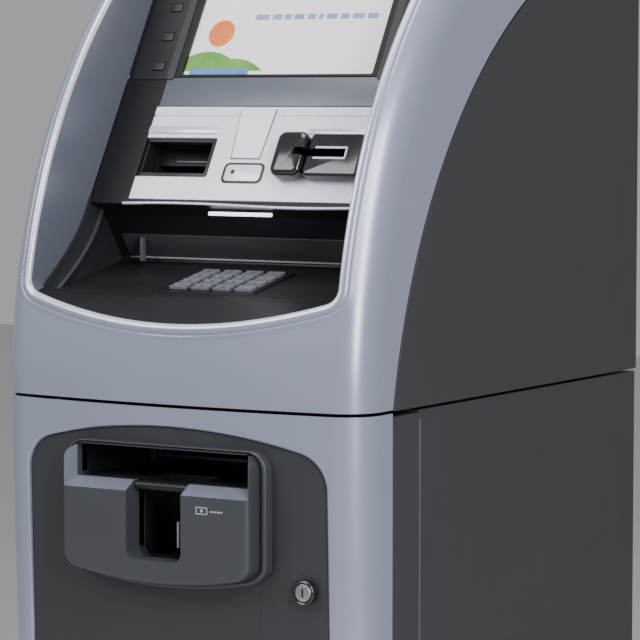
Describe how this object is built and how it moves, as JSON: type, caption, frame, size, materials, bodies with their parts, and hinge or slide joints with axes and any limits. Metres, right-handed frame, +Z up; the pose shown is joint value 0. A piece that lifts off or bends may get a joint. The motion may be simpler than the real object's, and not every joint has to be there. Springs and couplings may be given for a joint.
{
  "type": "cash machine",
  "caption": "Slim free-standing cash machine with a steel safe, a hinged decor door and a tip-up hood carrying screen, keypad, card reader and printer.",
  "frame": {"origin": "on the floor, at the middle of the safe body's base and of its anchor holes", "axes": "+X to the user's right, -Y towards the user, +Z up"},
  "size_m": [0.412, 0.599, 1.388],
  "materials": {
    "safe_steel": "satin powder coat, dark grey",
    "inner_steel": "satin paint",
    "zinc": "zinc plated",
    "fascia_silver": "satin silver moulding",
    "insert_grey": "fine grained moulding",
    "recess_black": "fine grained moulding",
    "gloss_black": "polished moulding",
    "key_plastic": "satin keys",
    "screen": "lit display glass",
    "paper": "thermal paper",
    "lamp": "lit diffuser"
  },
  "bodies": {
    "cabinet": {"safe_body": "safe_steel", "hinge_brackets": "zinc", "dispenser_unit": "inner_steel", "head_base": "safe_steel", "side_panel_left": "safe_steel", "side_panel_right": "safe_steel", "rear_panel": "safe_steel", "mainboard_box": "zinc", "power_supply": "inner_steel", "hood_hinge": "zinc"},
    "decor_door": {"door_pan": "safe_steel", "door_fascia": "fascia_silver", "door_insert": "insert_grey", "dispenser_shroud": "insert_grey", "cash_chute": "recess_black", "lock_bezel": "gloss_black"},
    "door_lock": {"lock_plug": "zinc"},
    "vault_door": {"safe_door": "inner_steel"},
    "dial": {"safe_dial": "recess_black"},
    "handle": {"safe_handle": "zinc"},
    "bolts": {"locking_bolts": "zinc"},
    "cassette": {"cash_cassette": "inner_steel"},
    "rocker": {"rocker_switch": "recess_black"},
    "hood": {"hood_shell": "fascia_silver", "panel_frame": "recess_black", "screen_module": "inner_steel", "screen_glass": "screen", "trim_strip": "insert_grey", "receipt_band": "fascia_silver", "receipt_printer": "recess_black", "card_bezel": "gloss_black", "card_reader": "recess_black", "light_bar": "lamp", "keypad_tray": "recess_black", "pin_pad_body": "recess_black"},
    "roll": {"paper_roll": "paper"},
    "key_1_cap": {"key_1": "key_plastic"},
    "key_2_cap": {"key_2": "key_plastic"},
    "key_3_cap": {"key_3": "key_plastic"},
    "key_cancel_cap": {"key_cancel": "key_plastic"},
    "key_4_cap": {"key_4": "key_plastic"},
    "key_5_cap": {"key_5": "key_plastic"},
    "key_6_cap": {"key_6": "key_plastic"},
    "key_clear_cap": {"key_clear": "key_plastic"},
    "key_7_cap": {"key_7": "key_plastic"},
    "key_8_cap": {"key_8": "key_plastic"},
    "key_9_cap": {"key_9": "key_plastic"},
    "key_enter_cap": {"key_enter": "key_plastic"},
    "key_star_cap": {"key_star": "key_plastic"},
    "key_0_cap": {"key_0": "key_plastic"},
    "key_hash_cap": {"key_hash": "key_plastic"},
    "key_blank_cap": {"key_blank": "key_plastic"},
    "fkey_left_1_cap": {"fkey_left_1": "key_plastic"},
    "fkey_left_2_cap": {"fkey_left_2": "key_plastic"},
    "fkey_left_3_cap": {"fkey_left_3": "key_plastic"},
    "fkey_left_4_cap": {"fkey_left_4": "key_plastic"},
    "fkey_right_1_cap": {"fkey_right_1": "key_plastic"},
    "fkey_right_2_cap": {"fkey_right_2": "key_plastic"},
    "fkey_right_3_cap": {"fkey_right_3": "key_plastic"},
    "fkey_right_4_cap": {"fkey_right_4": "key_plastic"}
  },
  "joints": [
    {"name": "decor_door_hinge", "type": "hinge", "parent": "cabinet", "child": "decor_door", "pos_m": [-0.202, -0.176, 0.4225], "axis": [0, 0, -1], "range_deg": [0, 105]},
    {"name": "safe_door_hinge", "type": "hinge", "parent": "cabinet", "child": "vault_door", "pos_m": [-0.19, -0.176, 0.4225], "axis": [0, 0, -1], "range_deg": [0, 94.5]},
    {"name": "cassette_slide", "type": "slide", "parent": "cabinet", "child": "cassette", "axis": [0, -1, 0], "range_m": [0, 0.2]},
    {"name": "decor_lock_turn", "type": "hinge", "parent": "decor_door", "child": "door_lock", "pos_m": [0.147, -0.245, 0.681], "axis": [0, -1, 0], "range_deg": [0, 90]},
    {"name": "safe_dial_turn", "type": "hinge", "parent": "vault_door", "child": "dial", "pos_m": [0.02, -0.176, 0.492], "axis": [0, -1, 0], "continuous": true},
    {"name": "safe_handle_turn", "type": "hinge", "parent": "vault_door", "child": "handle", "pos_m": [0.07, -0.176, 0.382], "axis": [0, -1, 0], "range_deg": [0, 90]},
    {"name": "locking_bolt_slide", "type": "slide", "parent": "vault_door", "child": "bolts", "axis": [1, 0, 0], "range_m": [0, 0.01]},
    {"name": "hood_hinge_turn", "type": "hinge", "parent": "cabinet", "child": "hood", "pos_m": [0, 0.276, 1.374], "axis": [-1, 0, 0], "range_deg": [0, 50]},
    {"name": "paper_roll_turn", "type": "hinge", "parent": "hood", "child": "roll", "pos_m": [-0.084, -0.04222, 1.01535], "axis": [1, 0, 0], "continuous": true},
    {"name": "rocker_turn", "type": "hinge", "parent": "cabinet", "child": "rocker", "pos_m": [0.15, 0.278, 0.89], "axis": [1, 0, 0], "range_deg": [-7, 7]},
    {"name": "key_1_press", "type": "slide", "parent": "hood", "child": "key_1_cap", "axis": [0, 0.2079, -0.9781], "range_m": [0, 0.002], "stiffness_N_per_m": 800, "springref_m": -0.0005},
    {"name": "key_2_press", "type": "slide", "parent": "hood", "child": "key_2_cap", "axis": [0, 0.2079, -0.9781], "range_m": [0, 0.002], "stiffness_N_per_m": 800, "springref_m": -0.0005},
    {"name": "key_3_press", "type": "slide", "parent": "hood", "child": "key_3_cap", "axis": [0, 0.2079, -0.9781], "range_m": [0, 0.002], "stiffness_N_per_m": 800, "springref_m": -0.0005},
    {"name": "key_cancel_press", "type": "slide", "parent": "hood", "child": "key_cancel_cap", "axis": [0, 0.2079, -0.9781], "range_m": [0, 0.002], "stiffness_N_per_m": 800, "springref_m": -0.0005},
    {"name": "key_4_press", "type": "slide", "parent": "hood", "child": "key_4_cap", "axis": [0, 0.2079, -0.9781], "range_m": [0, 0.002], "stiffness_N_per_m": 800, "springref_m": -0.0005},
    {"name": "key_5_press", "type": "slide", "parent": "hood", "child": "key_5_cap", "axis": [0, 0.2079, -0.9781], "range_m": [0, 0.002], "stiffness_N_per_m": 800, "springref_m": -0.0005},
    {"name": "key_6_press", "type": "slide", "parent": "hood", "child": "key_6_cap", "axis": [0, 0.2079, -0.9781], "range_m": [0, 0.002], "stiffness_N_per_m": 800, "springref_m": -0.0005},
    {"name": "key_clear_press", "type": "slide", "parent": "hood", "child": "key_clear_cap", "axis": [0, 0.2079, -0.9781], "range_m": [0, 0.002], "stiffness_N_per_m": 800, "springref_m": -0.0005},
    {"name": "key_7_press", "type": "slide", "parent": "hood", "child": "key_7_cap", "axis": [0, 0.2079, -0.9781], "range_m": [0, 0.002], "stiffness_N_per_m": 800, "springref_m": -0.0005},
    {"name": "key_8_press", "type": "slide", "parent": "hood", "child": "key_8_cap", "axis": [0, 0.2079, -0.9781], "range_m": [0, 0.002], "stiffness_N_per_m": 800, "springref_m": -0.0005},
    {"name": "key_9_press", "type": "slide", "parent": "hood", "child": "key_9_cap", "axis": [0, 0.2079, -0.9781], "range_m": [0, 0.002], "stiffness_N_per_m": 800, "springref_m": -0.0005},
    {"name": "key_enter_press", "type": "slide", "parent": "hood", "child": "key_enter_cap", "axis": [0, 0.2079, -0.9781], "range_m": [0, 0.002], "stiffness_N_per_m": 800, "springref_m": -0.0005},
    {"name": "key_star_press", "type": "slide", "parent": "hood", "child": "key_star_cap", "axis": [0, 0.2079, -0.9781], "range_m": [0, 0.002], "stiffness_N_per_m": 800, "springref_m": -0.0005},
    {"name": "key_0_press", "type": "slide", "parent": "hood", "child": "key_0_cap", "axis": [0, 0.2079, -0.9781], "range_m": [0, 0.002], "stiffness_N_per_m": 800, "springref_m": -0.0005},
    {"name": "key_hash_press", "type": "slide", "parent": "hood", "child": "key_hash_cap", "axis": [0, 0.2079, -0.9781], "range_m": [0, 0.002], "stiffness_N_per_m": 800, "springref_m": -0.0005},
    {"name": "key_blank_press", "type": "slide", "parent": "hood", "child": "key_blank_cap", "axis": [0, 0.2079, -0.9781], "range_m": [0, 0.002], "stiffness_N_per_m": 800, "springref_m": -0.0005},
    {"name": "fkey_left_1_press", "type": "slide", "parent": "hood", "child": "fkey_left_1_cap", "axis": [0, 0.8733, -0.4873], "range_m": [0, 0.001], "stiffness_N_per_m": 800, "springref_m": -0.0005},
    {"name": "fkey_left_2_press", "type": "slide", "parent": "hood", "child": "fkey_left_2_cap", "axis": [0, 0.8733, -0.4873], "range_m": [0, 0.001], "stiffness_N_per_m": 800, "springref_m": -0.0005},
    {"name": "fkey_left_3_press", "type": "slide", "parent": "hood", "child": "fkey_left_3_cap", "axis": [0, 0.8733, -0.4873], "range_m": [0, 0.001], "stiffness_N_per_m": 800, "springref_m": -0.0005},
    {"name": "fkey_left_4_press", "type": "slide", "parent": "hood", "child": "fkey_left_4_cap", "axis": [0, 0.8733, -0.4873], "range_m": [0, 0.001], "stiffness_N_per_m": 800, "springref_m": -0.0005},
    {"name": "fkey_right_1_press", "type": "slide", "parent": "hood", "child": "fkey_right_1_cap", "axis": [0, 0.8733, -0.4873], "range_m": [0, 0.001], "stiffness_N_per_m": 800, "springref_m": -0.0005},
    {"name": "fkey_right_2_press", "type": "slide", "parent": "hood", "child": "fkey_right_2_cap", "axis": [0, 0.8733, -0.4873], "range_m": [0, 0.001], "stiffness_N_per_m": 800, "springref_m": -0.0005},
    {"name": "fkey_right_3_press", "type": "slide", "parent": "hood", "child": "fkey_right_3_cap", "axis": [0, 0.8733, -0.4873], "range_m": [0, 0.001], "stiffness_N_per_m": 800, "springref_m": -0.0005},
    {"name": "fkey_right_4_press", "type": "slide", "parent": "hood", "child": "fkey_right_4_cap", "axis": [0, 0.8733, -0.4873], "range_m": [0, 0.001], "stiffness_N_per_m": 800, "springref_m": -0.0005}
  ],
  "couplings": [
    {"joint": "safe_door_hinge", "follows": "decor_door_hinge", "ratio": 0.9},
    {"joint": "cassette_slide", "follows": "decor_door_hinge", "m_per_rad": 0.10903},
    {"joint": "locking_bolt_slide", "follows": "safe_handle_turn", "m_per_rad": 0.00636}
  ]
}
